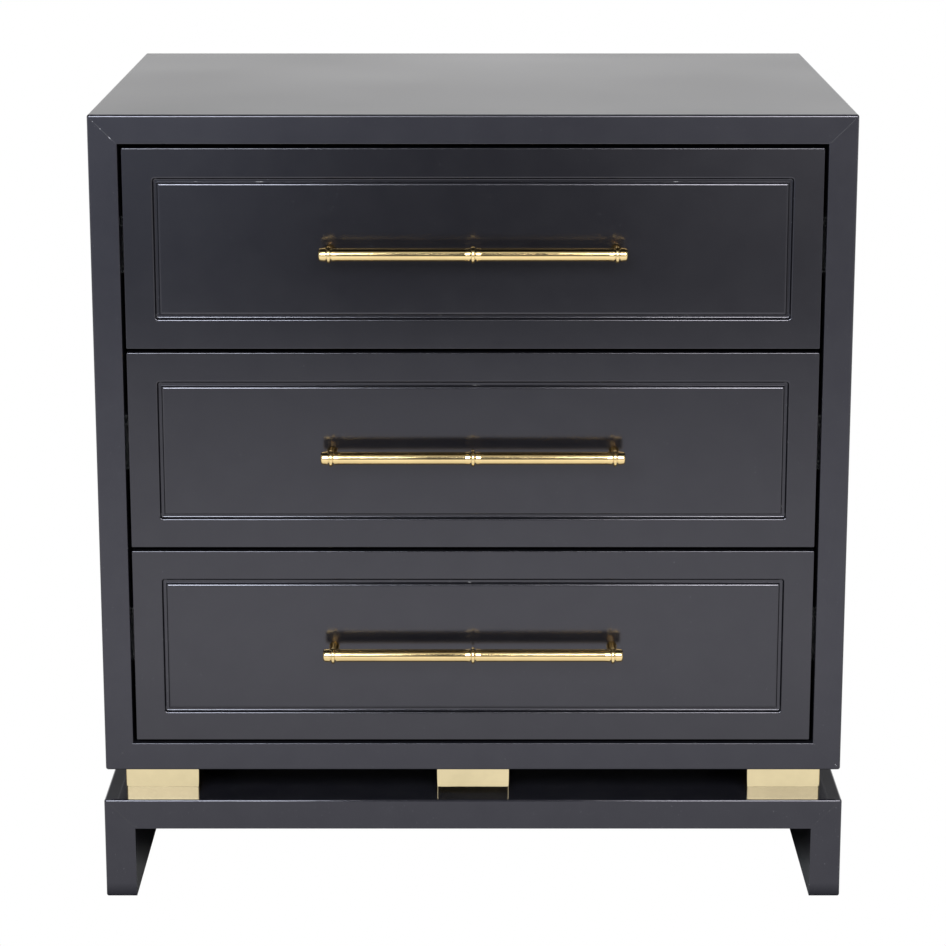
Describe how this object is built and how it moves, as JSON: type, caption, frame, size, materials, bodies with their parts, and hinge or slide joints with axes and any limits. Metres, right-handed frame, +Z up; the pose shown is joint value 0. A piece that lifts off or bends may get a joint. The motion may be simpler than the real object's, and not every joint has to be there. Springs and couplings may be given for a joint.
{
  "type": "nightstand with drawers",
  "caption": "Low bedside cabinet with full-width flush drawers on ball-bearing slides, brass bar pulls, and a bridge-shaped base under brass spacer blocks.",
  "frame": {"origin": "on the floor, at the centre of the plan of the whole piece, pulls included", "axes": "+Z up, drawers open towards -Y, +X to the right for someone facing the drawers"},
  "size_m": [0.604, 0.484, 0.645],
  "materials": {
    "black_lacquer": "black lacquer, satin gloss, with a light orange peel",
    "brass": "polished, lightly brushed",
    "drawer_box_wood": "clear-oiled birch",
    "drawer_bottom_board": "sealed birch plywood",
    "back_board": "matt black stained board",
    "slide_steel": "zinc-plated sheet",
    "fastener_steel": "zinc-plated"
  },
  "bodies": {
    "cabinet": {"back_panel_screws": "fastener_steel", "base_leg_left": "black_lacquer", "base_leg_right": "black_lacquer", "base_top": "black_lacquer", "block_bolts": "fastener_steel", "brass_block_back_left": "brass", "brass_block_back_middle": "brass", "brass_block_back_right": "brass", "brass_block_front_left": "brass", "brass_block_front_middle": "brass", "brass_block_front_right": "brass", "case_back": "back_board", "case_bottom": "black_lacquer", "case_left": "black_lacquer", "case_right": "black_lacquer", "case_top": "black_lacquer", "slide_case_bottom_left": "slide_steel", "slide_case_bottom_right": "slide_steel", "slide_case_middle_left": "slide_steel", "slide_case_middle_right": "slide_steel", "slide_case_top_left": "slide_steel", "slide_case_top_right": "slide_steel"},
    "top_drawer": {"drawer_top_back": "drawer_box_wood", "drawer_top_bottom": "drawer_bottom_board", "drawer_top_front": "black_lacquer", "drawer_top_side_left": "drawer_box_wood", "drawer_top_side_right": "drawer_box_wood", "pull_top_bar": "brass", "pull_top_posts": "brass", "pull_top_screws": "fastener_steel", "slide_drawer_top_left": "slide_steel", "slide_drawer_top_right": "slide_steel"},
    "top_carriage": {"slide_carriage_top_left": "slide_steel", "slide_carriage_top_right": "slide_steel"},
    "middle_drawer": {"drawer_middle_back": "drawer_box_wood", "drawer_middle_bottom": "drawer_bottom_board", "drawer_middle_front": "black_lacquer", "drawer_middle_side_left": "drawer_box_wood", "drawer_middle_side_right": "drawer_box_wood", "pull_middle_bar": "brass", "pull_middle_posts": "brass", "pull_middle_screws": "fastener_steel", "slide_drawer_middle_left": "slide_steel", "slide_drawer_middle_right": "slide_steel"},
    "middle_carriage": {"slide_carriage_middle_left": "slide_steel", "slide_carriage_middle_right": "slide_steel"},
    "bottom_drawer": {"drawer_bottom_back": "drawer_box_wood", "drawer_bottom_bottom": "drawer_bottom_board", "drawer_bottom_front": "black_lacquer", "drawer_bottom_side_left": "drawer_box_wood", "drawer_bottom_side_right": "drawer_box_wood", "pull_bottom_bar": "brass", "pull_bottom_posts": "brass", "pull_bottom_screws": "fastener_steel", "slide_drawer_bottom_left": "slide_steel", "slide_drawer_bottom_right": "slide_steel"},
    "bottom_carriage": {"slide_carriage_bottom_left": "slide_steel", "slide_carriage_bottom_right": "slide_steel"}
  },
  "joints": [
    {"name": "top_drawer_slide", "type": "slide", "parent": "cabinet", "child": "top_drawer", "axis": [0, -1, 0], "range_m": [0, 0.34]},
    {"name": "top_carriage_slide", "type": "slide", "parent": "cabinet", "child": "top_carriage", "axis": [0, -1, 0], "range_m": [0, 0.17]},
    {"name": "middle_drawer_slide", "type": "slide", "parent": "cabinet", "child": "middle_drawer", "axis": [0, -1, 0], "range_m": [0, 0.34]},
    {"name": "middle_carriage_slide", "type": "slide", "parent": "cabinet", "child": "middle_carriage", "axis": [0, -1, 0], "range_m": [0, 0.17]},
    {"name": "bottom_drawer_slide", "type": "slide", "parent": "cabinet", "child": "bottom_drawer", "axis": [0, -1, 0], "range_m": [0, 0.34]},
    {"name": "bottom_carriage_slide", "type": "slide", "parent": "cabinet", "child": "bottom_carriage", "axis": [0, -1, 0], "range_m": [0, 0.17]}
  ],
  "couplings": [
    {"joint": "top_carriage_slide", "follows": "top_drawer_slide", "ratio": 0.5},
    {"joint": "middle_carriage_slide", "follows": "middle_drawer_slide", "ratio": 0.5},
    {"joint": "bottom_carriage_slide", "follows": "bottom_drawer_slide", "ratio": 0.5}
  ]
}
